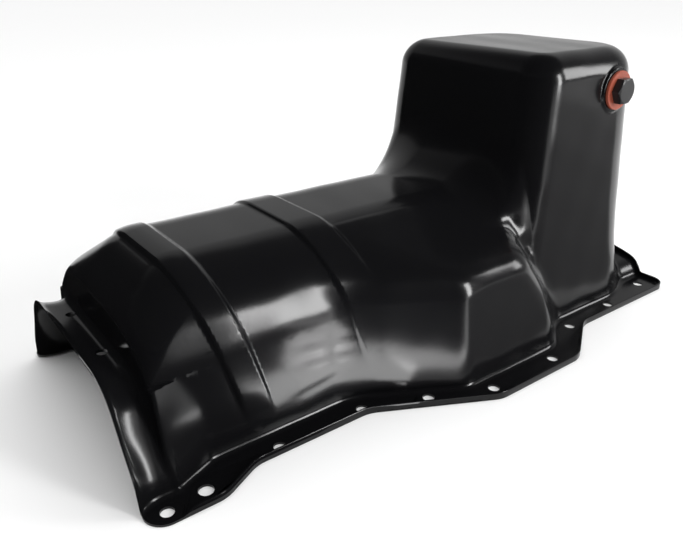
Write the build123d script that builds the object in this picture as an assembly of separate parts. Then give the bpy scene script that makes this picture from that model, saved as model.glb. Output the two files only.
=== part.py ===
from build123d import *
import os
from math import atan2, cos, degrees, radians, sin, tan

# Engine oil pan, pressed from one steel sheet, standing on its bolting rail as in a parts
# photograph: sump up, mating face down. Millimetres. X runs from the arched front end to the
# sump, Y is across the engine and Z is up. The origin is on the mating face, midway between
# the two front bolts. The near side, with the bulge and the drain plug, is -Y.

# Sheet and bolting rail
SHEET = 1.6
RAIL_LIP = 5.5
LIP_START_X = 4.0
BOLT_HOLE_R = 4.2
DOWEL_HOLE_R = 4.8

# Stations along X
FRONT_X = -12.8
REAR_X = 500.2
SADDLE_END_X = 15.2
THROAT_END_X = 39.2
BULGE_START_X = 151.3
BULGE_FULL_X = 222.9
BULGE_FULL_END_X = 321.2
BULGE_END_X = 354.2

# Half widths of the seat's, tunnel's and bulge's walls at the mating face
SADDLE_HALF = 99.0
TUNNEL_HALF = 87.0
BULGE_HALF = 127.5

# Bolts: rows shared by both sides, then the near side's own and the far side's own
FRONT_BOLT_HALF = 110.8
DOWEL_X = 25.3
DOWEL_STEP = 2.7
DOWEL_HALF = FRONT_BOLT_HALF - DOWEL_STEP
TUNNEL_BOLT_X = (80.5, 147.1)
TUNNEL_BOLT_HALF = 100.5
SUMP_BOLT_X = 420.5
SUMP_BOLT_HALF = 109.9
REAR_BOLT_X = 481.0
REAR_BOLT_HALF = 102.0
BULGE_BOLT_X = (238.9, 305.9)
BULGE_BOLT_Y = -137.7
RAMP_BOLT = (192.9, -118.2)
FLANK_BOLT = (360.0, -113.8)
FAR_BOLT_X = (213.7, 280.3)
FAR_SUMP_BOLT_X = 350.0

# Edge of the rail: its distance from the bolts, its half widths, the stations where they
# change, and the corner roundings
BOLT_MARGIN = 9.2
EAR_RAIL = FRONT_BOLT_HALF + BOLT_MARGIN
TUNNEL_RAIL = 106.0
BULGE_RAIL = 149.5
SUMP_RAIL = SUMP_BOLT_HALF + BOLT_MARGIN
EAR_END_X = 33.0
NECK_X = 61.0
RAIL_RAMP_X = 149.0
RAIL_BULGE_X = 235.0
RAIL_BULGE_END_X = 324.0
RAIL_SUMP_X = 372.0
RAIL_FAR_RAMP_X = 275.0
EAR_ROUND = 13.0
RAIL_ROUND = 24.0

# Tunnel over the crankshaft
TUNNEL_HEIGHT = 116.0
TUNNEL_LEAN = 5.5
TUNNEL_SHOULDER = 58.0
NOSE_START_X = 7.2
NOSE_ROUND = 30.0

# Arched seat for the front crankshaft seal, and the facets behind its legs
SADDLE_HEIGHT = 66.0
SADDLE_KNEE = 14.0
SADDLE_CROWN_HALF = 68.0
SADDLE_ROUND = 34.0
SADDLE_KNEE_ROUND = 22.0
SADDLE_FLARE = 3.0
SEAL_HOLE_R = 3.5
SEAL_HOLE_HALF = 30.0
SEAL_HOLE_X = 0.5
FACET_TOP_X = 20.0
FACET_TOP_HALF = 73.0
FACET_TOP_Z = 75.0
FACET_DEPTH = 16.0
FACET_OVERRUN = 0.3
FACET_SPLAY = 17.0
FACET_INSET_X = 1.62
FACET_INSET_Y = 1.9

# Bulge on the near side: the lean of its walls, and the crest line that its sloping top faces
# meet along. A turn is away from -Y towards +X, and a slope is down from level.
BULGE_ROOT = 36.0
BULGE_RAMP_LEAN = 7.0
BULGE_LEAN = 10.0
BULGE_CREST_X = (228.6, 293.0)
BULGE_CREST_Y = -112.0
BULGE_CREST_Z = 81.0
BULGE_SLOPE = 24.0
BROW_TURN = -19.4
BROW_SLOPE = 36.8
FALL_TURN = 50.4
FALL_SLOPE = 58.4
BULGE_CORNER = 16.0
BULGE_ROUND = 12.0

# Least upward tilt of a bulge face, as the height of its unit normal: any, and a top face's
TILT_ANY = 0.05
TILT_TOP = 0.3

# Sump: its place on the mating face, the draft of its walls, and the foot flared below the waist
SUMP_HEIGHT = 218.0
SUMP_FRONT_X = 306.1
SUMP_BACK_X = 477.2
SUMP_HALF = 95.5
SUMP_FRONT_DRAFT = 5.0
SUMP_BACK_DRAFT = 3.8
SUMP_SIDE_DRAFT = 2.9
SUMP_FRONT_ROUND = 26.0
SUMP_BACK_ROUND = 48.0
SUMP_TOP_ROUND = 20.0
SUMP_BLEND = 45.0
SUMP_WAIST = 62.0
FOOT_FRONT_FLARE = 4.1
FOOT_BACK_FLARE = 2.0
FOOT_SIDE_FLARE = 6.5
FOOT_ROUND = 28.0

# Arched seat for the rear crankshaft seal, behind the sump
REAR_SEAT_HALF = 91.0
REAR_SEAT_SHOULDER = 84.0
REAR_SEAT_STEP = 14.0
REAR_SEAT_HEIGHT = 26.0
REAR_SEAT_DEPTH = 40.0

# Stiffening bands pressed across the tunnel: crown start and width of each
BANDS = ((41.2, 20.0), (137.2, 27.0))
BAND_RISE = 2.0
BAND_TILT = 15.0
BAND_FOOT = 22.0

# Drain plug, its washer and the nut welded inside the pad
PLUG_X = 413.2
PLUG_BELOW_CROWN = 31.0
PAD_R = 17.5
PAD_PROUD = 1.9
PAD_REACH = 20.0
THREAD_R = 7.0
THREAD_LENGTH = 16.0
THREAD_GAP = 0.1
PLUG_HEX = 19.0
PLUG_HEAD = 7.0
PLUG_TIP_CHAMFER = 1.0
HEAD_CHAMFER = 1.2
HEAD_BEVEL = 58.0
WASHER_R = 15.2
WASHER_HOLE_GAP = 0.4
WASHER_THICK = 2.5
WASHER_CHAMFER = 0.4
NUT_R = 13.5
NUT_THICK = 9.0
PAD_HOLE_GAP = 0.6

# How far a cutting solid runs past what it cuts
PAST = 20.0


def drop(length, angle):
    """Sideways distance covered by a wall that leans by angle over a length."""
    return length * tan(radians(angle))


def base(g):
    """Level that a form starts from: the mating face outside, well below it inside."""
    return -PAST if g > 0 else 0


def arch_sketch(x, profile, rounds):
    """Closed arch across the pan. profile: (half width, height) pairs going up."""
    left = [(-half, z) for half, z in profile]
    right = [(half, z) for half, z in reversed(profile)]
    with BuildSketch(Plane((x, 0, 0), x_dir=(0, 1, 0), z_dir=(1, 0, 0))) as s:
        with BuildLine():
            Polyline(*left, *right, close=True)
        make_face()
        for height, radius in rounds:
            fillet([v for v in s.vertices() if abs(v.Y - height) < SHEET / 2], radius)
    return s.sketch


def tunnel(g):
    """Long arched body over the crankshaft, with its rounded nose."""
    height = TUNNEL_HEIGHT - g
    half = TUNNEL_HALF - g
    start = NOSE_START_X + g
    end = (SUMP_FRONT_X + SUMP_BACK_X) / 2
    profile = [(half - drop(z, TUNNEL_LEAN), z) for z in (base(g), height)]
    body = extrude(arch_sketch(start, profile, [(height, TUNNEL_SHOULDER - g)]), amount=end - start)
    nose = body.faces().sort_by(Axis.X)[0]
    return fillet([e for e in nose.edges() if e.center().Z > base(g) + SHEET], NOSE_ROUND - g)


def band(g, start, width):
    """Raised band across the tunnel, tilted so that its feet lie further back."""
    low = BAND_FOOT + g
    high = TUNNEL_HEIGHT + PAST
    lead = start + g
    trail = start + width - g
    with BuildSketch(Plane.XZ) as s:
        with BuildLine():
            Polyline(
                (lead + drop(TUNNEL_HEIGHT - low, BAND_TILT), low),
                (trail + drop(TUNNEL_HEIGHT - low, BAND_TILT), low),
                (trail + drop(TUNNEL_HEIGHT - high, BAND_TILT), high),
                (lead + drop(TUNNEL_HEIGHT - high, BAND_TILT), high),
                close=True,
            )
        make_face()
    slab = extrude(s.sketch, amount=TUNNEL_HALF + PAST, both=True)
    return tunnel(g - BAND_RISE) & slab


def saddle(g, x, length):
    """Arched seat for the front seal, extruded along X."""
    crown = SADDLE_HEIGHT - g
    half = SADDLE_HALF - g
    profile = [(half, base(g)), (half, SADDLE_KNEE), (SADDLE_CROWN_HALF - g / 2, crown)]
    rounds = [(SADDLE_KNEE, SADDLE_KNEE_ROUND - g), (crown, SADDLE_ROUND - g)]
    return extrude(arch_sketch(x, profile, rounds), amount=length)


def facet(g, side):
    """Slanted flat where the wide seat narrows to the tunnel; side is -1 near, 1 far."""
    top = Vector(FACET_TOP_X, side * FACET_TOP_HALF, FACET_TOP_Z)
    front = Vector(SADDLE_END_X, side * SADDLE_HALF, 0)
    back = Vector(THROAT_END_X, side * TUNNEL_HALF, 0)
    back = back + (back - front) * FACET_OVERRUN
    reach = 1 - base(g) / FACET_TOP_Z
    triangle = Face(Wire.make_polygon([top, top + (front - top) * reach, top + (back - top) * reach]))
    wedge = extrude(triangle, amount=FACET_DEPTH, dir=Vector(drop(1, FACET_SPLAY), -side, 0).normalized())
    return wedge.moved(Location((FACET_INSET_X * g, -side * FACET_INSET_Y * g, 0)))


def sump_section(z, front, back, half, front_round, back_round):
    with BuildSketch(Plane.XY.offset(z)) as s:
        with Locations(((front + back) / 2, 0)):
            Rectangle(back - front, 2 * half)
        fillet([v for v in s.vertices() if v.X < front + SHEET], front_round)
        fillet([v for v in s.vertices() if v.X > back - SHEET], back_round)
    return s.sketch


def well_section(z, g):
    """Section of the deep well, whose walls draw in by their draft on the way up."""
    front = SUMP_FRONT_X + drop(z, SUMP_FRONT_DRAFT) + g
    back = SUMP_BACK_X - drop(z, SUMP_BACK_DRAFT) - g
    half = well_half(z) - g
    return sump_section(z, front, back, half, SUMP_FRONT_ROUND - g, SUMP_BACK_ROUND - g)


def well_half(z):
    return SUMP_HALF - drop(z, SUMP_SIDE_DRAFT)


def well(g):
    body = loft([well_section(base(g), g), well_section(SUMP_HEIGHT - g, g)], ruled=True)
    return fillet(body.faces().sort_by(Axis.Z)[-1].edges(), SUMP_TOP_ROUND - g)


def foot(g):
    """The well's foot, which flares from the waist down to the rail."""
    start = base(g)
    flare = 1 - start / SUMP_WAIST
    front = SUMP_FRONT_X + drop(start, SUMP_FRONT_DRAFT) - flare * FOOT_FRONT_FLARE + g
    back = SUMP_BACK_X - drop(start, SUMP_BACK_DRAFT) + flare * FOOT_BACK_FLARE - g
    half = well_half(start) + flare * FOOT_SIDE_FLARE - g
    sole = sump_section(start, front, back, half, FOOT_ROUND - g, FOOT_ROUND - g)
    return loft([sole, well_section(SUMP_WAIST, g)], ruled=True)


def trimmed(block, g, point, turn, slope):
    """Block cut down to a plane through point, moved in by g. The plane faces by turn and slope."""
    level = sin(radians(slope))
    facing = Vector(sin(radians(turn)) * level, -cos(radians(turn)) * level, cos(radians(slope)))
    return split(block, Plane(Vector(*point) - facing * g, z_dir=facing), keep=Keep.BOTTOM)


def shared_edges(ones, others):
    """Edges that a face of one list has in common with another face of the other list."""
    found = []
    for one in ones:
        for other in others:
            if not one.is_same(other):
                found += [e for e in one.edges() for f in other.edges() if e.is_same(f)]
    return ShapeList(e for k, e in enumerate(found) if not any(e.is_same(f) for f in found[:k]))


def bulge(g):
    """Side bulge: leaning walls under a roof, with a brow before it and a fall behind it."""
    ramp_turn = -degrees(atan2(BULGE_HALF - TUNNEL_HALF, BULGE_FULL_X - BULGE_START_X))
    back_turn = degrees(atan2(BULGE_HALF - SUMP_HALF - FOOT_SIDE_FLARE, BULGE_END_X - BULGE_FULL_END_X))
    corner = (BULGE_FULL_END_X, -BULGE_HALF, 0)
    block = Box(
        BULGE_END_X - BULGE_START_X + 6 * PAST,
        BULGE_HALF - BULGE_ROOT + PAST,
        TUNNEL_HEIGHT + PAST - base(g),
        align=(Align.MIN, Align.MAX, Align.MIN),
    )
    block = Pos(BULGE_START_X - 3 * PAST, -BULGE_ROOT, base(g)) * block
    block = trimmed(block, g, (BULGE_START_X, -TUNNEL_HALF, 0), ramp_turn, 90 - BULGE_RAMP_LEAN)
    block = trimmed(block, g, corner, 0, 90 - BULGE_LEAN)
    block = trimmed(block, g, corner, back_turn, 90 - BULGE_LEAN)
    walls = [f for f in block.faces() if TILT_ANY < f.normal_at().Z < TILT_TOP]
    corners = shared_edges(walls, walls)
    block = fillet(corners, BULGE_CORNER - g)
    crest_start = (BULGE_CREST_X[0], BULGE_CREST_Y, BULGE_CREST_Z)
    crest_end = (BULGE_CREST_X[1], BULGE_CREST_Y, BULGE_CREST_Z)
    block = trimmed(block, g, crest_start, 0, BULGE_SLOPE)
    block = trimmed(block, g, crest_start, BROW_TURN, BROW_SLOPE)
    block = trimmed(block, g, crest_end, FALL_TURN, FALL_SLOPE)
    leaning = [f for f in block.faces() if f.normal_at().Z > TILT_ANY]
    tops = [f for f in leaning if f.normal_at().Z > TILT_TOP]
    return fillet(shared_edges(tops, leaning), BULGE_ROUND - g)


def rear_seat(g):
    """Low arch under the rear edge, for the rear crankshaft seal."""
    shoulder = REAR_SEAT_SHOULDER - g
    step = REAR_SEAT_STEP - g
    start = SUMP_BACK_X - REAR_SEAT_DEPTH
    splay = (REAR_SEAT_HALF - REAR_SEAT_SHOULDER) / REAR_SEAT_STEP
    sole = REAR_SEAT_HALF - g - base(g) * splay
    with BuildSketch(Plane((start, 0, 0), x_dir=(0, 1, 0), z_dir=(1, 0, 0))) as s:
        with BuildLine():
            Polyline((-shoulder, step), (-sole, base(g)), (sole, base(g)), (shoulder, step))
            ThreePointArc((shoulder, step), (0, REAR_SEAT_HEIGHT - g), (-shoulder, step))
        make_face()
    return extrude(s.sketch, amount=REAR_X + (PAST if g > 0 else 0) - start)


def pad(g):
    """Flat round pad that the drain plug's washer seals on."""
    face_y = -pad_face() + g
    plane = Plane((PLUG_X, face_y, SUMP_HEIGHT - PLUG_BELOW_CROWN), x_dir=(1, 0, 0), z_dir=(0, 1, 0))
    return extrude(plane * Circle(PAD_R - g), amount=PAD_REACH)


def pad_face():
    """Distance of the pad's face from the centre line."""
    return well_half(SUMP_HEIGHT - PLUG_BELOW_CROWN) + PAD_PROUD


def form(g):
    """The drawn shape as a solid: the sheet's outside for g = 0, its inside for g = SHEET."""
    body = tunnel(g) + well(g)
    joint = [
        e for e in body.edges()
        if e.center().X < SUMP_FRONT_X + drop(SUMP_HEIGHT, SUMP_FRONT_DRAFT)
        and e.center().X > SUMP_FRONT_X - SHEET
        and base(g) + SHEET < e.center().Z < TUNNEL_HEIGHT + SHEET
        and abs(e.center().Y) < TUNNEL_HALF + SHEET
    ]
    body = fillet(joint, SUMP_BLEND + g)
    front = FRONT_X - (PAST if g > 0 else 0)
    body = body + foot(g) + bulge(g) + saddle(g, front, SADDLE_END_X - g - front)
    body = body + facet(g, -1) + facet(g, 1)
    for start, width in BANDS:
        body = body + band(g, start, width)
    return body + rear_seat(g) + pad(g)


def rail_outline():
    """Edge of the rail, seen from above."""
    with BuildSketch() as s:
        with BuildLine():
            Polyline(
                (FRONT_X, -EAR_RAIL),
                (EAR_END_X, -EAR_RAIL),
                (NECK_X, -TUNNEL_RAIL),
                (RAIL_RAMP_X, -TUNNEL_RAIL),
                (RAIL_BULGE_X, -BULGE_RAIL),
                (RAIL_BULGE_END_X, -BULGE_RAIL),
                (RAIL_SUMP_X, -SUMP_RAIL),
                (REAR_X, -SUMP_RAIL),
                (REAR_X, SUMP_RAIL),
                (RAIL_FAR_RAMP_X + SUMP_RAIL - TUNNEL_RAIL, SUMP_RAIL),
                (RAIL_FAR_RAMP_X, TUNNEL_RAIL),
                (NECK_X, TUNNEL_RAIL),
                (EAR_END_X, EAR_RAIL),
                (FRONT_X, EAR_RAIL),
                close=True,
            )
        make_face()
        ends = [v for v in s.vertices() if v.X < FRONT_X + SHEET or v.X > REAR_X - SHEET]
        bends = [v for v in s.vertices() if FRONT_X + SHEET < v.X < REAR_X - SHEET]
        fillet(ends, EAR_ROUND)
        fillet(bends, RAIL_ROUND)
    return s.sketch


def rail():
    """Flat rail with its upturned lip, and the raised edge of the rear seat."""
    outline = rail_outline()
    plate = extrude(outline, amount=SHEET)
    ring = extrude(outline, amount=RAIL_LIP) - extrude(offset(outline, -SHEET), amount=RAIL_LIP)
    ring = split(ring, Plane.YZ.offset(LIP_START_X), keep=Keep.TOP)
    edge_start = REAR_X - SHEET
    with BuildSketch(Plane((edge_start, 0, 0), x_dir=(0, 1, 0), z_dir=(1, 0, 0))) as s:
        shoulder = REAR_SEAT_SHOULDER + RAIL_LIP / 2
        step = REAR_SEAT_STEP + RAIL_LIP
        with BuildLine():
            Polyline(
                (-shoulder, step), (-REAR_SEAT_HALF - RAIL_LIP / 2, RAIL_LIP), (-REAR_SEAT_HALF, 0),
                (REAR_SEAT_HALF, 0), (REAR_SEAT_HALF + RAIL_LIP / 2, RAIL_LIP), (shoulder, step),
            )
            ThreePointArc((shoulder, step), (0, REAR_SEAT_HEIGHT + RAIL_LIP), (-shoulder, step))
        make_face()
    return plate + ring + extrude(s.sketch, amount=SHEET)


def bolt_places():
    """Centres of the rail's bolt holes on both sides."""
    places = []
    for side in (-1, 1):
        places.append((0, side * FRONT_BOLT_HALF))
        places.append((SUMP_BOLT_X, side * SUMP_BOLT_HALF))
        places.append((REAR_BOLT_X, side * REAR_BOLT_HALF))
        places += [(x, side * TUNNEL_BOLT_HALF) for x in TUNNEL_BOLT_X]
    places += [(x, BULGE_BOLT_Y) for x in BULGE_BOLT_X]
    places += [RAMP_BOLT, FLANK_BOLT]
    places += [(x, TUNNEL_BOLT_HALF) for x in FAR_BOLT_X]
    places.append((FAR_SUMP_BOLT_X, SUMP_BOLT_HALF))
    return places


def hole(x, y, z, radius, length):
    return Pos(x, y, z) * Cylinder(radius, length)


def pan_shell():
    """The one pressed sheet: drawn form, rail, lip and every hole."""
    solid = form(0) + rail() + saddle(-SADDLE_FLARE, FRONT_X, SHEET)
    solid = solid - form(SHEET)
    cuts = [hole(x, y, 0, BOLT_HOLE_R, 2 * PAST) for x, y in bolt_places()]
    cuts += [hole(DOWEL_X, side * DOWEL_HALF, 0, DOWEL_HOLE_R, 2 * PAST) for side in (-1, 1)]
    cuts += [hole(SEAL_HOLE_X, side * SEAL_HOLE_HALF, SADDLE_HEIGHT, SEAL_HOLE_R, PAST) for side in (-1, 1)]
    cuts.append(plug_axis(0) * Cylinder(THREAD_R + PAD_HOLE_GAP, 2 * PAD_REACH))
    for cut in cuts:
        solid = solid - cut
    return solid


def plug_axis(out):
    """Place on the drain plug's axis, a distance out from the pad's face."""
    height = SUMP_HEIGHT - PLUG_BELOW_CROWN
    return Plane((PLUG_X, -pad_face() - out, height), x_dir=(1, 0, 0), z_dir=(0, -1, 0))


def plug_washer():
    ring = Circle(WASHER_R) - Circle(THREAD_R + WASHER_HOLE_GAP)
    washer = extrude(plug_axis(0) * ring, amount=WASHER_THICK)
    return chamfer(washer.edges().filter_by(GeomType.CIRCLE), WASHER_CHAMFER)


def drain_plug():
    head = extrude(plug_axis(WASHER_THICK) * RegularPolygon(PLUG_HEX / 2, 6, major_radius=False), amount=PLUG_HEAD)
    dome = plug_axis(WASHER_THICK) * Cone(
        PLUG_HEX / 2 + drop(PLUG_HEAD, HEAD_BEVEL), PLUG_HEX / 2 - HEAD_CHAMFER / 2, PLUG_HEAD,
        align=(Align.CENTER, Align.CENTER, Align.MIN),
    )
    shank = extrude(plug_axis(WASHER_THICK) * Circle(THREAD_R), amount=-THREAD_LENGTH)
    tip = shank.faces().sort_by(Axis.Y)[-1]
    return (head & dome) + chamfer(tip.edges(), PLUG_TIP_CHAMFER)


def drain_nut():
    """Round nut welded behind the pad, which carries the plug's thread."""
    ring = Circle(NUT_R) - Circle(THREAD_R + THREAD_GAP)
    return extrude(plug_axis(-SHEET) * ring, amount=-NUT_THICK)


def write(name, solid):
    solid.label = name
    export_step(solid, f"parts/{name}.step")


os.makedirs("parts", exist_ok=True)
write("pan_shell", pan_shell())
write("drain_nut", drain_nut())
write("plug_washer", plug_washer())
write("drain_plug", drain_plug())
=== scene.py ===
import bmesh
import bpy
import math
import numpy as np
from mathutils import Matrix, Vector


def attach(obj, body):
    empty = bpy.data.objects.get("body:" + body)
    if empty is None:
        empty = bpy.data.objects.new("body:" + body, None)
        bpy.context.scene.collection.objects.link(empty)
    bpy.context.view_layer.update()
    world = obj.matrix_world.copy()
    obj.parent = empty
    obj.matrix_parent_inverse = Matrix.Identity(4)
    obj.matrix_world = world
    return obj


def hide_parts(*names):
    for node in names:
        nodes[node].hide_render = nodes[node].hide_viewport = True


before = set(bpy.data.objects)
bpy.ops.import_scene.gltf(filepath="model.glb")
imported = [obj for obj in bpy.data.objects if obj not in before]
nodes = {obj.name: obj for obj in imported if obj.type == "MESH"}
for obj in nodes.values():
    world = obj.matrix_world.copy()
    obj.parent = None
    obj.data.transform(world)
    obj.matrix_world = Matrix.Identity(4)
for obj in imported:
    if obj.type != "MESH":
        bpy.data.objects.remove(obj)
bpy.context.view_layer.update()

# All lengths in this part of the script are millimetres, as in the part's source.
SHEET = 1.6
RAIL_LIP = 5.5
TUNNEL_HALF, TUNNEL_LEAN, TUNNEL_TOP, SHOULDER = 87.0, math.radians(5.5), 116.0, 58.0
NOSE_X = 7.2
BAND_RISE, BAND_EDGE, BAND_LEAN = 2.0, 2.1, math.tan(math.radians(15))
FLAT_TOP, FLAT_PROUD, FLAT_REACH = 89, 12.2, 39.6
FOLD = 3.5
TUNNEL_END, SEAT_END, REAR_SEAT_START = 390, 12.5, 440
SADDLE_HALF, SADDLE_KNEE, SADDLE_CROWN, SADDLE_TOP = 99.0, 14.0, 68.0, 66.0
BANDS = ((41.2, 20.0), (137.2, 27.0))
SUMP_FRONT, SUMP_BACK, SUMP_HALF, SUMP_TOP = 306.1, 477.2, 95.5, 218.0
FRONT_DRAFT, BACK_DRAFT, SIDE_DRAFT = (math.tan(math.radians(a)) for a in (5.0, 3.8, 2.9))
PLUG, PAD_RADIUS = (413.2, -87.93, 187.0), 17.5
BULGE_WALL_Y, BULGE_BACK_X, BULGE_LEAN = -127.5, 321.2, math.tan(math.radians(10))
RAMP_START, RAMP_FOOT = 151.3, 87
CREST, FALL_TOP, ROOF_TILT = (228.6, -112, 81), (293, -112, 80), math.radians(24)
REAR_ARCH, REAR_ARCH_DROP = 300, 274
OUTLINE = (
    (-12.8, -120, 13), (33, -120, 24), (61, -106, 24), (149, -106, 24), (235, -149.5, 24),
    (324, -149.5, 24), (372, -119, 24), (500.2, -119, 13), (500.2, 119, 13), (288, 119, 24),
    (275, 106, 24), (61, 106, 24), (33, 120, 24), (-12.8, 120, 13),
)
HOLES = (
    [(0, s * 110.8, 4.2) for s in (-1, 1)] + [(25.3, s * 108.1, 4.8) for s in (-1, 1)]
    + [(x, s * 100.5, 4.2) for x in (80.5, 147.1) for s in (-1, 1)]
    + [(420.5, s * 109.9, 4.2) for s in (-1, 1)] + [(481, s * 102.0, 4.2) for s in (-1, 1)]
    + [(238.9, -137.7, 4.2), (305.9, -137.7, 4.2), (192.9, -118.2, 4.2), (360, -113.8, 4.2)]
    + [(213.7, 100.5, 4.2), (280.3, 100.5, 4.2), (350, 109.9, 4.2)]
)
SEAL_HOLES, SEAL_HOLE_RADIUS = [(0.5, s * 30, 66) for s in (-1, 1)], 3.5
PLUG_BORE = 7.6

# Corners of the space in which the surface is sought, and the cells along one coarse block.
LOW, HIGH = np.array((-18.0, -155.0, -8.0)), np.array((506.0, 126.0, 222.0))
BLOCK = 4
SLOPE_STEP = 0.05
# Width of a grid cell, triangles kept, and floor level of the outer and the inner surface.
OUTER, INNER = (1.3, 110000, -9), (2.6, 36000, -12)
CUTTER_SIDES, LONG_CUTTER, SHORT_CUTTER = 40, 30, 20


def ease(low, high, x):
    t = np.clip((x - low) / (high - low), 0, 1)
    return t * t * (3 - 2 * t)


def bend(radius, turn):
    """Width of a soft join that stands for a bend of that radius and turning angle in degrees."""
    return 4 * radius * (1 - math.cos(math.radians(turn) / 2))


def both(a, b, k):
    """Inside both a and b, with the edge between them rounded."""
    h = np.maximum(k - np.abs(a - b), 0) / k
    return np.maximum(a, b) + h * h * k / 4


def either(a, b, k):
    """Inside a or b, with a soft valley between them."""
    return -both(-a, -b, k)


def rounded(a, b, r):
    """Inside both of two square surfaces, with a true round edge of radius r."""
    u, v = np.maximum(a + r, 0), np.maximum(b + r, 0)
    return np.minimum(-r, np.maximum(a, b)) + np.sqrt(u * u + v * v)


def plane(X, Y, Z, point, normal):
    n = np.array(normal, float)
    n /= np.linalg.norm(n)
    return (X - point[0]) * n[0] + (Y - point[1]) * n[1] + (Z - point[2]) * n[2]


def cheek(X, Z, front):
    """The slanted flat behind each leg of the front seat, which runs out into the tunnel's wall."""
    level = np.clip(Z / FLAT_TOP, 0, 1)
    proud = FLAT_PROUD * (1 - level ** 1.6)
    reach = FLAT_REACH - 29 * np.maximum(level - 0.337, 0) ** 1.55 / 0.529
    gone = (reach - X) / np.maximum(reach - front, 2)
    return proud * np.clip((gone + np.sqrt(gone * gone + 0.012)) / 2, 0, 1.4)


def tunnel(X, Y, Z, A):
    """The round-shouldered cover over the crankshaft, with two leaning bands and its nose."""
    s, c = math.sin(TUNNEL_LEAN), math.cos(TUNNEL_LEAN)
    centre = TUNNEL_HALF - (SHOULDER + SHOULDER * s) / c
    qy, qz = A - centre, Z - (TUNNEL_TOP - SHOULDER)
    front = NOSE_X + 1.1 * ease(106, 86, Z) + 4.5 * ease(28, 0, Z)
    wall = (A - TUNNEL_HALF - cheek(X, Z, front)) * c + Z * s
    flat = np.maximum(wall, Z - TUNNEL_TOP)
    body = np.where((qy > 0) & (c * qz > s * qy), np.hypot(qy, qz) - SHOULDER, flat)
    for start, width in BANDS:
        along = X - (TUNNEL_TOP - Z) * BAND_LEAN
        rise = ease(start - BAND_EDGE, start + BAND_EDGE, along)
        rise = rise * ease(start + width + BAND_EDGE, start + width - BAND_EDGE, along)
        body = body - BAND_RISE * rise * ease(14, 40, Z)
    nose = 3 + 15 * ease(62, 86, Z) + 30 * ease(80, 106, Z)
    return np.maximum(rounded(body, front - X, nose), X - TUNNEL_END)


def seat(X, A, Z):
    """Arched front seat, with legs that are slightly barrelled and a flared edge."""
    slant = (SADDLE_TOP - SADDLE_KNEE, SADDLE_HALF - SADDLE_CROWN)
    size = math.hypot(*slant)
    side = ((A - SADDLE_HALF) * slant[0] + (Z - SADDLE_KNEE) * slant[1]) / size
    side = side + 0.002 * (Z - 48) ** 2
    arch = both(both(A - SADDLE_HALF, side, bend(22, 31)), Z - SADDLE_TOP, bend(34, 59))
    flare = (0.0107 + 0.008 * ease(42, 18, Z)) * np.maximum(3 - X, 0) ** 2 + 0.09 * np.clip(-9 - X, 0, 6) ** 2
    return np.maximum(arch - flare, X - SEAT_END)


def well(X, Y, Z, A):
    """The deep sump, tapered, with a tight front bend, a wider rear one and a flared foot."""
    flare = both(np.zeros_like(Z), 1 - Z / 62.0, 0.3)
    front = SUMP_FRONT + Z * FRONT_DRAFT - 4.1 * flare
    back = SUMP_BACK - Z * BACK_DRAFT + 2.0 * flare
    half = SUMP_HALF - Z * SIDE_DRAFT + 6.5 * flare
    mid = (front + back) / 2
    r = np.where(X < mid, 26.0, 48.0)
    qx = np.abs(X - mid) - (back - front) / 2 + r
    qy = A - half + r
    wall = np.minimum(np.maximum(qx, qy), 0) + np.hypot(np.maximum(qx, 0), np.maximum(qy, 0)) - r
    return rounded(wall, Z - SUMP_TOP, 20.0)


def bulge(X, Y, Z):
    """The side bulge: wall, slanted ramp and back, and a roof that breaks to brow and fall."""
    twist = 0.08 + 0.10 * ease(158, 226, X)
    ramp = -0.492 * (X - RAMP_START) - 0.87 * (Y + RAMP_FOOT) + twist * Z
    wall = plane(X, Y, Z, (0, BULGE_WALL_Y, 0), (0, -1, BULGE_LEAN))
    back = plane(X, Y, Z, (BULGE_BACK_X, BULGE_WALL_Y, 0), (25.5, -33, BULGE_LEAN * 41.7))
    roof = plane(X, Y, Z, (0, *CREST[1:]), (0, -math.sin(ROOF_TILT), math.cos(ROOF_TILT)))
    brow = plane(X, Y, Z, CREST, (-0.199, -0.565, 0.801))
    fall = plane(X, Y, Z, FALL_TOP, (0.657, -0.543, 0.524))
    side = both(both(wall, ramp, bend(26, 30)), back, bend(24, 38))
    top = both(both(roof, brow, 3), fall, 9)
    return both(both(side, top, 10), Y + 40, 4)


def rear_seat(X, Y, Z, A):
    """Low arched rear seat."""
    side = plane(X, A, Z, (0, 91, 0), (0, 14, 7))
    arch = np.hypot(Y, Z + REAR_ARCH_DROP) - REAR_ARCH
    return np.maximum(both(side, arch, 6), REAR_SEAT_START - X)


# Drag lines: middle X and Z, fall along X, depth. Crinkles: X, Z, depth and size.
DRAG_LINES = ((128, 42.5, 0.09, 0.3), (126, 22.5, -0.12, 0.3), (130, 53.5, 0.12, 0.2))
DRAG_WIDTH, WAVE_DEPTH = 4.2, 0.15
CRINKLES = ((311, 97, 1.3, 5.5), (318, 86, -0.9, 4.5), (322, 76, 0.8, 4.5))


def draw_marks(X, Y, Z):
    """Depth of the press's marks: soft waves, the drag lines and the crinkled valley."""
    waves = WAVE_DEPTH * (1 + np.sin(X / 8.3 + Z / 17 + 0.6) * np.sin(Z / 9.1 - X / 23 + Y / 31))
    near = ease(-60, -70, Y)
    for x, z, fall, deep in DRAG_LINES:
        line = (Z - z + fall * (X - x)) / DRAG_WIDTH
        waves = waves + deep * near * np.exp(-line * line) * ease(32, 10, np.abs(X - x))
    for x, z, deep, size in CRINKLES:
        away = ((X - x) ** 2 + (Z - z) ** 2) / (size * size)
        waves = waves + deep * near * np.exp(-away)
    return waves


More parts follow.
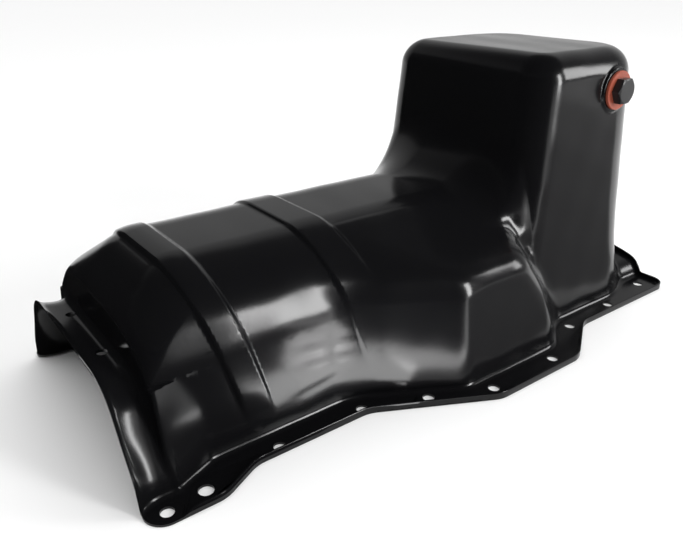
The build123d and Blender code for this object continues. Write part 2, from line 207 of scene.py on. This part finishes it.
def form(X, Y, Z):
    """Signed distance from the drawn shape's outside, in millimetres."""
    A = np.abs(Y)
    hull = tunnel(X, Y, Z, A)
    deep = well(X, Y, Z, A)
    r = 3 + 42 * ease(344, 318, X) * ease(97, 74, A)
    u, v = np.maximum(r - hull, 0), np.maximum(r - deep, 0)
    hull = np.maximum(r, np.minimum(hull, deep)) - np.sqrt(u * u + v * v)
    valley = 2.5 + 6 * ease(-50, -78, Y)
    hull = either(hull, bulge(X, Y, Z), valley)
    hull = either(hull, seat(X, A, Z), 4 + 4 * ease(30, 64, Z))
    hull = either(hull, rear_seat(X, Y, Z, A), 10) + draw_marks(X, Y, Z)
    px, py, pz = PLUG
    disc = both(np.hypot(X - px, Z - pz) - PAD_RADIUS, py - Y, 1.2)
    return either(hull, np.maximum(disc, Y + 60), 1.6)


def skin(X, Y, Z):
    """The form and the rail's upper face, joined by the fold at the foot of the walls."""
    a, b = form(X, Y, Z), Z - SHEET
    u, v = np.maximum(FOLD - a, 0), np.maximum(FOLD - b, 0)
    return np.maximum(FOLD, np.minimum(a, b)) - np.sqrt(u * u + v * v)


def slope(P):
    """The field's slope at each point."""
    g = np.empty_like(P)
    for k in range(3):
        d = np.zeros(3)
        d[k] = SLOPE_STEP
        g[:, k] = (skin(*(P + d).T) - skin(*(P - d).T)) / (2 * SLOPE_STEP)
    return g


def settle(P, inset=0.0, steps=4):
    """Points moved onto the skin, or to that depth under it."""
    for _ in range(steps):
        g = slope(P)
        P = P - g * ((skin(*P.T) + inset) / np.maximum((g * g).sum(1), 0.05))[:, None]
    return P


def unit(v):
    return v / np.maximum(np.linalg.norm(v, axis=1), 1e-9)[:, None]


def net(pitch, inset):
    """Points and quads over the skin moved in by inset, one point to each grid cell it crosses."""
    blocks = np.ceil((HIGH - LOW) / (BLOCK * pitch)).astype(int)
    middles = [LOW[k] + BLOCK * pitch * (np.arange(blocks[k]) + 0.5) for k in range(3)]
    F = skin(*np.meshgrid(*middles, indexing="ij"))
    for k in range(3):
        F = np.repeat(F, BLOCK, axis=k)
    near = np.argwhere(np.abs(F + inset) < (BLOCK + 1) * pitch)
    F[tuple(near.T)] = skin(*(LOW + pitch * (near + 0.5)).T)
    F += inset
    cells, spots = [], []
    for d in range(3):
        a, b = np.moveaxis(F, d, 0)[:-1], np.moveaxis(F, d, 0)[1:]
        idx = np.argwhere((a < 0) != (b < 0))
        fa, fb = a[tuple(idx.T)], b[tuple(idx.T)]
        others = [k for k in range(3) if k != d]
        place = np.empty((len(idx), 3))
        place[:, [d] + others] = idx
        low = place.astype(int)
        place[:, d] += fa / (fa - fb)
        ring = np.stack([low] * 4, 1)
        ring[:, (1, 2), others[0]] -= 1
        ring[:, (2, 3), others[1]] -= 1
        turned = (fa < 0) == (d == 1)
        ring[turned] = ring[turned][:, ::-1]
        whole = ((ring >= 0) & (ring < np.array(F.shape) - 1)).all((1, 2))
        cells.append(ring[whole])
        spots.append(place[whole])
    cells, spots = np.concatenate(cells), np.concatenate(spots)
    codes = np.ravel_multi_index(tuple(cells.reshape(-1, 3).T), F.shape)
    quads = np.unique(codes, return_inverse=True)[1]
    total = np.bincount(quads)
    points = [np.bincount(quads, np.repeat(spots[:, k], 4)) / total for k in range(3)]
    return LOW + pitch * (np.stack(points, 1) + 0.5), quads.reshape(-1, 4)


def new_object(name, points, faces):
    mesh = bpy.data.meshes.new(name)
    mesh.from_pydata([tuple(p) for p in points], [], [tuple(f) for f in faces])
    mesh.validate()
    obj = bpy.data.objects.new(name, mesh)
    bpy.context.scene.collection.objects.link(obj)
    return obj


def arrays(mesh):
    points = np.empty(len(mesh.vertices) * 3)
    mesh.vertices.foreach_get("co", points)
    mesh.calc_loop_triangles()
    faces = np.empty(len(mesh.loop_triangles) * 3, np.int64)
    mesh.loop_triangles.foreach_get("vertices", faces)
    return points.reshape(-1, 3), faces.reshape(-1, 3)


def apply_modifiers(obj):
    """obj's mesh becomes what its modifiers make of it."""
    graph = bpy.context.evaluated_depsgraph_get()
    mesh = bpy.data.meshes.new_from_object(obj.evaluated_get(graph))
    obj.modifiers.clear()
    obj.data = mesh


def thinned(points, faces, ratio):
    """Fewer triangles, spent where the surface bends most."""
    obj = new_object("thin", points, faces)
    modifier = obj.modifiers.new("thin", "DECIMATE")
    modifier.ratio = ratio
    modifier.use_collapse_triangulate = True
    apply_modifiers(obj)
    points, faces = arrays(obj.data)
    bpy.data.objects.remove(obj)
    return points, faces


def closed(points, faces, level):
    """Solid between the surface and a floor at that level."""
    count = len(points)
    edges = np.concatenate([faces[:, [0, 1]], faces[:, [1, 2]], faces[:, [2, 0]]])
    codes = edges[:, 0] * count + edges[:, 1]
    rim = edges[~np.isin(codes, edges[:, 1] * count + edges[:, 0])]
    border, place = np.unique(rim, return_inverse=True)
    low = place.reshape(rim.shape) + count
    centre = np.full(len(rim), count + len(border))
    walls = np.stack([rim[:, 1], rim[:, 0], low[:, 0], low[:, 1]], 1)
    cap = np.stack([low[:, 1], low[:, 0], centre], 1)
    foot = points[border].copy()
    foot[:, 2] = level
    middle = [foot.mean(0)]
    shell = [tuple(f) for part in (faces, walls, cap) for f in part]
    return np.concatenate([points, foot, middle]), shell


def surface(name, pitch, keep, inset, level):
    points, quads = net(pitch, inset)
    points = settle(points, inset)
    faces = np.concatenate([quads[:, [0, 1, 2]], quads[:, [0, 2, 3]]])
    points, faces = thinned(points, faces, keep / len(faces))
    points, shell = closed(settle(points, inset), faces, level)
    return new_object(name, points, shell)


def rounded_outline(step):
    """Points along the rail's edge, with its corners rounded."""
    points = []
    total = len(OUTLINE)
    for k, (x, y, r) in enumerate(OUTLINE):
        p = np.array((x, y), float)
        a = np.array(OUTLINE[k - 1][:2], float) - p
        b = np.array(OUTLINE[(k + 1) % total][:2], float) - p
        a, b = a / np.linalg.norm(a), b / np.linalg.norm(b)
        half = math.acos(float(np.clip(a @ b, -1, 1))) / 2
        centre = p + (a + b) / np.linalg.norm(a + b) * r / math.sin(half)
        start = p + a * r / math.tan(half) - centre
        finish = p + b * r / math.tan(half) - centre
        turn = math.atan2(start[0] * finish[1] - start[1] * finish[0], start @ finish)
        pieces = max(2, int(abs(turn) * r / step))
        for j in range(pieces + 1):
            t = turn * j / pieces
            x = start[0] * math.cos(t) - start[1] * math.sin(t)
            y = start[0] * math.sin(t) + start[1] * math.cos(t)
            points.append(centre + (x, y))
    points = np.array(points)
    dense = []
    for p, q in zip(points, np.roll(points, -1, axis=0)):
        count = max(1, int(np.linalg.norm(q - p) / step))
        dense += [p + (q - p) * j / count for j in range(count)]
    return np.array(dense)


def prism(name, outline, low, high):
    """Upright solid over a closed outline."""
    count = len(outline)
    points = [(x, y, low) for x, y in outline] + [(x, y, high) for x, y in outline]
    faces = [tuple(range(count))[::-1], tuple(range(count, 2 * count))]
    faces += [(k, (k + 1) % count, (k + 1) % count + count, k + count) for k in range(count)]
    return new_object(name, points, faces)


def combine(obj, tool, operation):
    modifier = obj.modifiers.new("cut", "BOOLEAN")
    modifier.operation = operation
    modifier.solver = "MANIFOLD"
    modifier.object = tool
    apply_modifiers(obj)
    bpy.data.objects.remove(tool)


def drill(name, place, axis, radius, length):
    """Round cutter along an axis."""
    bm = bmesh.new()
    turn = Vector((0, 0, 1)).rotation_difference(Vector(axis)).to_matrix().to_4x4()
    bmesh.ops.create_cone(
        bm, cap_ends=True, segments=CUTTER_SIDES, radius1=radius, radius2=radius,
        depth=length, matrix=turn,
    )
    bmesh.ops.translate(bm, verts=bm.verts, vec=place)
    mesh = bpy.data.meshes.new(name)
    bm.to_mesh(mesh)
    obj = bpy.data.objects.new(name, mesh)
    bpy.context.scene.collection.objects.link(obj)
    return obj


def lip_ring():
    """Upturned edge of the rail, from one front ear round the rear to the other."""
    path = rounded_outline(2.5)
    nxt, prev = np.roll(path, -1, axis=0), np.roll(path, 1, axis=0)
    way = nxt - prev
    way /= np.linalg.norm(way, axis=1)[:, None]
    out = np.stack([way[:, 1], -way[:, 0]], 1)
    keep = path[:, 0] > 4.0
    order = np.arange(len(path))
    first = int(np.argmax(keep & ~np.roll(keep, 1)))
    order = np.roll(order, -first)
    order = order[keep[order]]
    path, out = path[order], out[order]
    ends = np.minimum(np.arange(len(path)), np.arange(len(path))[::-1])
    grow = ease(-1, 4, ends)
    up = np.tile((0.0, 0.0, 1.0), (len(path), 1))
    rear = np.abs(path[:, 1]) < 96
    rear &= path[:, 0] > 480
    top = np.array([(path[k, 0], path[k, 1], 60.0) for k in np.flatnonzero(rear)])
    for _ in range(60):
        top[:, 2] -= np.clip(skin(*top.T), -3, 3)
    normal = unit(slope(top))
    normal[:, 0] = 0
    up[rear] = unit(normal)
    base = np.column_stack([path, np.zeros(len(path))])
    base[rear] = top - up[rear] * SHEET
    profile = []
    for u, v, rising in (
        (3.6, 0.2, 0), (0.9, 0.0, 0), (0.25, 0.25, 0), (0.0, 0.9, 0), (0.0, -0.7, 1),
        (0.25, -0.2, 1), (0.8, 0.0, 1), (1.35, -0.2, 1), (1.6, -0.7, 1), (1.6, 2.9, 0),
        (1.85, 2.1, 0), (2.5, 1.5, 0), (3.6, 1.35, 0),
    ):
        height = v if not rising else v + RAIL_LIP
        if rising:
            level = 1.2 + (height - 1.2) * grow
        else:
            level = np.minimum(height, 1.2 + 4 * grow) if height > 1.2 else np.full(len(path), height)
        ring = base - np.column_stack([out * u, np.zeros(len(path))]) + up * level[:, None]
        profile.append(ring)
    rows, cols = len(path), len(profile)
    points = np.stack(profile, 1).reshape(-1, 3)
    faces = []
    for i in range(rows - 1):
        for j in range(cols):
            k = (j + 1) % cols
            faces.append((i * cols + j, i * cols + k, (i + 1) * cols + k, (i + 1) * cols + j))
    faces.append(tuple(range(cols))[::-1])
    faces.append(tuple((rows - 1) * cols + j for j in range(cols)))
    return new_object("lip", points, faces)


def set_normals(obj):
    """Normals from the field wherever a face lies along it, so that reflections run smoothly."""
    mesh = obj.data
    points = np.empty(len(mesh.vertices) * 3)
    mesh.vertices.foreach_get("co", points)
    points = points.reshape(-1, 3)
    ideal = unit(slope(points))
    corner = np.empty(len(mesh.loops), np.int64)
    mesh.loops.foreach_get("vertex_index", corner)
    flat = np.empty(len(mesh.loops) * 3)
    mesh.corner_normals.foreach_get("vector", flat)
    flat = flat.reshape(-1, 3)
    face = np.empty(len(mesh.polygons) * 3)
    mesh.polygons.foreach_get("normal", face)
    face = face.reshape(-1, 3)
    start = np.empty(len(mesh.polygons), np.int64)
    mesh.polygons.foreach_get("loop_total", start)
    face = np.repeat(face, start, axis=0)
    best = ideal[corner]
    agree = (best * face).sum(1)
    best = np.where((agree < 0)[:, None], -best, best)
    near = np.abs(agree) > 0.9
    mesh.normals_split_custom_set(np.where(near[:, None], best, flat).tolist())


def build_pan():
    """The drawn sheet as one mesh: outer less inner surface, trimmed, with its lip and holes."""
    pitch, triangles, level = OUTER
    pan = surface("pan_sheet", pitch, triangles, 0.0, level)
    pitch, triangles, level = INNER
    combine(pan, surface("inside", pitch, triangles, SHEET, level), "DIFFERENCE")
    combine(pan, prism("edge", rounded_outline(1.2), -5, 240), "INTERSECT")
    combine(pan, lip_ring(), "UNION")
    for x, y, r in HOLES:
        combine(pan, drill("bolt", (x, y, 0), (0, 0, 1), r, LONG_CUTTER), "DIFFERENCE")
    for place in SEAL_HOLES:
        combine(pan, drill("seal", place, (0, 0, 1), SEAL_HOLE_RADIUS, SHORT_CUTTER), "DIFFERENCE")
    combine(pan, drill("plug", PLUG, (0, 1, 0), PLUG_BORE, LONG_CUTTER), "DIFFERENCE")
    pan.data.validate()
    for polygon in pan.data.polygons:
        polygon.use_smooth = True
    pan.data.set_sharp_from_angle(angle=math.radians(40))
    set_normals(pan)
    pan.data.transform(Matrix.Scale(0.001, 4))
    return pan


pan = build_pan()
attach(pan, "pan")
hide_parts("pan_shell")

# All lengths from here on are metres.

def principled(name):
    material = bpy.data.materials.new(name)
    material.use_nodes = True
    return material, material.node_tree.nodes["Principled BSDF"]


def add(tree, kind, **values):
    node = tree.nodes.new(kind)
    for key, value in values.items():
        setattr(node, key, value)
    return node


def black_paint():
    """Gloss black stoved paint with a faint orange peel."""
    material, shader = principled("black_paint")
    tree = material.node_tree
    link = tree.links.new
    shader.inputs["Base Color"].default_value = (0.004, 0.004, 0.0045, 1)
    shader.inputs["Specular IOR Level"].default_value = 0.3
    place = add(tree, "ShaderNodeTexCoord")
    peel = add(tree, "ShaderNodeTexNoise")
    peel.inputs["Scale"].default_value = 350
    peel.inputs["Detail"].default_value = 2
    link(place.outputs["Object"], peel.inputs["Vector"])
    cloud = add(tree, "ShaderNodeTexNoise")
    cloud.inputs["Scale"].default_value = 22
    cloud.inputs["Detail"].default_value = 5
    link(place.outputs["Object"], cloud.inputs["Vector"])
    rough = add(tree, "ShaderNodeMapRange")
    rough.inputs["To Min"].default_value = 0.14
    rough.inputs["To Max"].default_value = 0.22
    link(cloud.outputs["Fac"], rough.inputs["Value"])
    link(rough.outputs["Result"], shader.inputs["Roughness"])
    bump = add(tree, "ShaderNodeBump")
    bump.inputs["Strength"].default_value = 0.05
    bump.inputs["Distance"].default_value = 0.0004
    link(peel.outputs["Fac"], bump.inputs["Height"])
    link(bump.outputs["Normal"], shader.inputs["Normal"])
    return material


def seal_rubber():
    """Orange sealing rubber of the plug's washer."""
    material, shader = principled("washer_seal")
    tree = material.node_tree
    shader.inputs["Roughness"].default_value = 0.45
    shader.inputs["Specular IOR Level"].default_value = 0.35
    place = add(tree, "ShaderNodeTexCoord")
    grain = add(tree, "ShaderNodeTexNoise")
    grain.inputs["Scale"].default_value = 900
    grain.inputs["Detail"].default_value = 3
    tree.links.new(place.outputs["Object"], grain.inputs["Vector"])
    tint = add(tree, "ShaderNodeValToRGB")
    tint.color_ramp.elements[0].color = (0.17, 0.032, 0.018, 1)
    tint.color_ramp.elements[1].color = (0.38, 0.085, 0.045, 1)
    tree.links.new(grain.outputs["Fac"], tint.inputs["Fac"])
    tree.links.new(tint.outputs["Color"], shader.inputs["Base Color"])
    bump = add(tree, "ShaderNodeBump")
    bump.inputs["Strength"].default_value = 0.3
    bump.inputs["Distance"].default_value = 0.0002
    tree.links.new(grain.outputs["Fac"], bump.inputs["Height"])
    tree.links.new(bump.outputs["Normal"], shader.inputs["Normal"])
    return material


def plug_steel():
    """Blackened steel of the plug, satin, with a fine grain."""
    material, shader = principled("plug_steel")
    tree = material.node_tree
    shader.inputs["Base Color"].default_value = (0.012, 0.012, 0.013, 1)
    shader.inputs["Specular IOR Level"].default_value = 0.4
    place = add(tree, "ShaderNodeTexCoord")
    grain = add(tree, "ShaderNodeTexNoise")
    grain.inputs["Scale"].default_value = 600
    grain.inputs["Detail"].default_value = 4
    tree.links.new(place.outputs["Object"], grain.inputs["Vector"])
    rough = add(tree, "ShaderNodeMapRange")
    rough.inputs["To Min"].default_value = 0.25
    rough.inputs["To Max"].default_value = 0.4
    tree.links.new(grain.outputs["Fac"], rough.inputs["Value"])
    tree.links.new(rough.outputs["Result"], shader.inputs["Roughness"])
    bump = add(tree, "ShaderNodeBump")
    bump.inputs["Strength"].default_value = 0.25
    bump.inputs["Distance"].default_value = 0.0002
    tree.links.new(grain.outputs["Fac"], bump.inputs["Height"])
    tree.links.new(bump.outputs["Normal"], shader.inputs["Normal"])
    return material


paint = black_paint()
kinds = {"plug_washer": seal_rubber(), "drain_plug": plug_steel()}
for name, node in nodes.items():
    node.data.materials.clear()
    node.data.materials.append(kinds.get(name, paint))
pan.data.materials.clear()
pan.data.materials.append(paint)
for polygon in pan.data.polygons:
    polygon.material_index = 0

floor_mesh = bpy.data.meshes.new("floor")
FLOOR = 12
floor_corners = [(-FLOOR, -FLOOR, 0), (FLOOR, -FLOOR, 0), (FLOOR, FLOOR, 0), (-FLOOR, FLOOR, 0)]
floor_mesh.from_pydata(floor_corners, [], [(0, 1, 2, 3)])
floor = bpy.data.objects.new("floor", floor_mesh)
bpy.context.scene.collection.objects.link(floor)
floor_material, floor_shader = principled("floor")
floor_shader.inputs["Base Color"].default_value = (0.9, 0.9, 0.9, 1)
floor_shader.inputs["Roughness"].default_value = 0.9
floor_shader.inputs["Specular IOR Level"].default_value = 0.0
floor_mesh.materials.append(floor_material)


def area(name, place, target, width, height, glow):
    """Soft box of that radiance, not seen by the camera."""
    lamp = bpy.data.lights.new(name, "AREA")
    lamp.shape = "RECTANGLE"
    lamp.size = width
    lamp.size_y = height
    lamp.energy = glow * math.pi * width * height
    obj = bpy.data.objects.new(name, lamp)
    obj.location = place
    obj.rotation_euler = (Vector(target) - Vector(place)).to_track_quat("-Z", "Y").to_euler()
    obj.visible_camera = False
    bpy.context.scene.collection.objects.link(obj)
    return obj


def strip(name, start, azimuth, distance, width, low, high, glow):
    """Upright soft box, seen from start at that azimuth and distance."""
    a = math.radians(azimuth)
    way = Vector((math.cos(a), math.sin(a), 0))
    middle = Vector((*start, (low + high) / 2)) + way * distance
    return area(name, middle, middle - way, width, high - low, glow)


strip("soft_box", (0.11, -0.08), -60.8, 3.0, 0.60, 0.06, 1.78, 24)
strip("side_box", (0.30, -0.10), -32, 1.5, 0.40, 0.32, 1.05, 10)
CARDS = (
    ("near_card", (0.140, -0.115), (0, -1), 0.05, 0.08, 9),
    ("middle_card", (0.160, -0.162), (0.72, -0.69), 0.117, 0.042, 9),
    ("far_card", (0.245, -0.245), (0.398, -0.918), 0.90, 0.05, 3),
)
for name, start, way, reach, width, glow in CARDS:
    middle = Vector((*start, 0.004)) + Vector((*way, 0)) * reach / 2
    card = area(name, middle, (0, 0, 0), width, reach, glow)
    card.rotation_euler = (math.pi, 0, math.atan2(way[1], way[0]) + math.pi / 2)

world = bpy.data.worlds.new("studio")
bpy.context.scene.world = world
world.use_nodes = True
tree = world.node_tree
back = tree.nodes["Background"]
place = add(tree, "ShaderNodeTexCoord")
split = add(tree, "ShaderNodeSeparateXYZ")
tree.links.new(place.outputs["Generated"], split.inputs["Vector"])
ramp = add(tree, "ShaderNodeValToRGB")
# Grey of the surroundings by height, from straight down to straight up.
SKY_STOPS = ((0.0, 0.95), (0.10, 0.6), (0.35, 0.45), (0.62, 0.40), (0.75, 0.06), (0.95, 0.06))
for k, (where, level) in enumerate(SKY_STOPS):
    stop = ramp.color_ramp.elements[k] if k < 2 else ramp.color_ramp.elements.new(where)
    stop.position = where
    stop.color = (level, level, level, 1)
tree.links.new(split.outputs["Z"], ramp.inputs["Fac"])
toward = add(tree, "ShaderNodeVectorMath", operation="DOT_PRODUCT")
BRIGHT_SIDE = math.radians(55)
toward.inputs[1].default_value = (math.cos(BRIGHT_SIDE), math.sin(BRIGHT_SIDE), 0)
tree.links.new(place.outputs["Generated"], toward.inputs[0])
side = add(tree, "ShaderNodeMapRange", interpolation_type="SMOOTHSTEP")
side.inputs["From Min"].default_value = 0.0
side.inputs["From Max"].default_value = 0.75
side.inputs["To Min"].default_value = 0.12
side.inputs["To Max"].default_value = 1.0
tree.links.new(toward.outputs["Value"], side.inputs["Value"])
tree.links.new(ramp.outputs["Color"], back.inputs["Color"])
tree.links.new(side.outputs["Result"], back.inputs["Strength"])

sun = bpy.data.lights.new("sky", "SUN")
sun.energy = 3.0
sun.angle = math.radians(110)
sun_object = bpy.data.objects.new("sky", sun)
sun_object.rotation_euler = (math.radians(-10), math.radians(5), 0)
sun_object.visible_glossy = False
bpy.context.scene.collection.objects.link(sun_object)


# Dark and grey sheets over the floor that paint shade into the paint's reflections. They show only in the
# paint's gloss:
# the camera, shadows and diffuse light don't see them.
FLAG_MIDDLE, FLAG_REACH, FLAG_HEIGHT, FLAG_LEVEL = 0.13, 0.75, 0.75, 0.003
FLAG_INNER_X, FLAG_INNER_Y = 0.30, 0.10
FLAG_EDGE, FLAG_EDGE_WAY, FLAG_EDGE_SHORT = (0.125, -0.11), (0.375, -0.927), 0.05
# Grey sheet on the floor at the camera's right: painted shade, the floor near the object mirrored darker in
# the bulge's and the sump's near walls.
GREY_REFLECTION_EDGE = (
    (0.255, -0.228), (0.198, -0.166), (0.24, -0.157), (0.42, -0.155), (0.55, -0.12),
    (1.9, -0.85), (1.4, -1.5), (0.60, -0.93),
)
# Near-black sheet on the floor that the bulge's ramp mirrors: painted shade, so the ramp reflects black.
BLACK_REFLECTION_EDGE = (
    (0.09, -0.17), (0.148, -0.17), (0.165, -0.196), (0.232, -0.262), (0.56, -1.02), (0.30, -1.0),
)


def gloss_only_shade(name, points, faces, grey):
    """Sheet of that grey, seen only in the paint's gloss: a painted dark reflection."""
    shade_sheet = new_object(name, points, faces)
    material, shader = principled(name)
    shader.inputs["Base Color"].default_value = (grey, grey, grey, 1)
    shader.inputs["Specular IOR Level"].default_value = 0
    shade_sheet.data.materials.append(material)
    shade_sheet.visible_camera = False
    shade_sheet.visible_shadow = False
    shade_sheet.visible_diffuse = False


def floor_gloss_shade(name, edge, level, grey):
    """Sheet that lies on the floor inside that edge, painting shade into the floor's reflection."""
    gloss_only_shade(name, [(*point, level) for point in edge], [tuple(range(len(edge)))], grey)


def dark_reflection_wall():
    """Dark sheet on the camera's side, a fan on the floor that turns up into a wall. It paints dark
    reflections into the paint where the white floor would show.
    """
    turns = [math.radians(100 + 8 * k) for k in range(21)]
    points = []
    for reach, height in ((0.0, FLAG_LEVEL), (FLAG_REACH, FLAG_LEVEL), (FLAG_REACH, FLAG_HEIGHT)):
        wide, deep = reach or FLAG_INNER_X, reach or FLAG_INNER_Y
        points += [(FLAG_MIDDLE + wide * math.cos(turn), deep * math.sin(turn), height) for turn in turns]
        edge = max(reach - FLAG_EDGE_SHORT, 0)
        x, y = (FLAG_EDGE[k] + edge * FLAG_EDGE_WAY[k] for k in range(2))
        points.append((x, y, height))
    count = len(turns) + 1
    faces = [
        (row * count + k, row * count + k + 1, (row + 1) * count + k + 1, (row + 1) * count + k)
        for row in range(2) for k in range(count - 1)
    ]
    gloss_only_shade("flag", points, faces, 0.01)


dark_reflection_wall()
floor_gloss_shade("grey_reflection_sheet", GREY_REFLECTION_EDGE, 0.003, 0.25)
floor_gloss_shade("black_reflection_sheet", BLACK_REFLECTION_EDGE, 0.0035, 0.02)

# The photograph's camera, as recovered from the bolt holes, the rail's fold and the front arch.
CAMERA_PLACE, CAMERA_WAY = (-0.0933, -0.3985, 0.2811), (0.5414, 0.7245, -0.4266)
SENSOR_WIDTH, LENS = 36, 35.63
view = bpy.data.cameras.new("camera")
view.sensor_width = SENSOR_WIDTH
view.lens = LENS
camera = bpy.data.objects.new("camera", view)
camera.location = CAMERA_PLACE
camera.rotation_euler = Vector(CAMERA_WAY).to_track_quat("-Z", "Y").to_euler()
view.clip_start = 0.01
bpy.context.scene.collection.objects.link(camera)
bpy.context.scene.camera = camera
bpy.context.scene.view_settings.view_transform = "Standard"
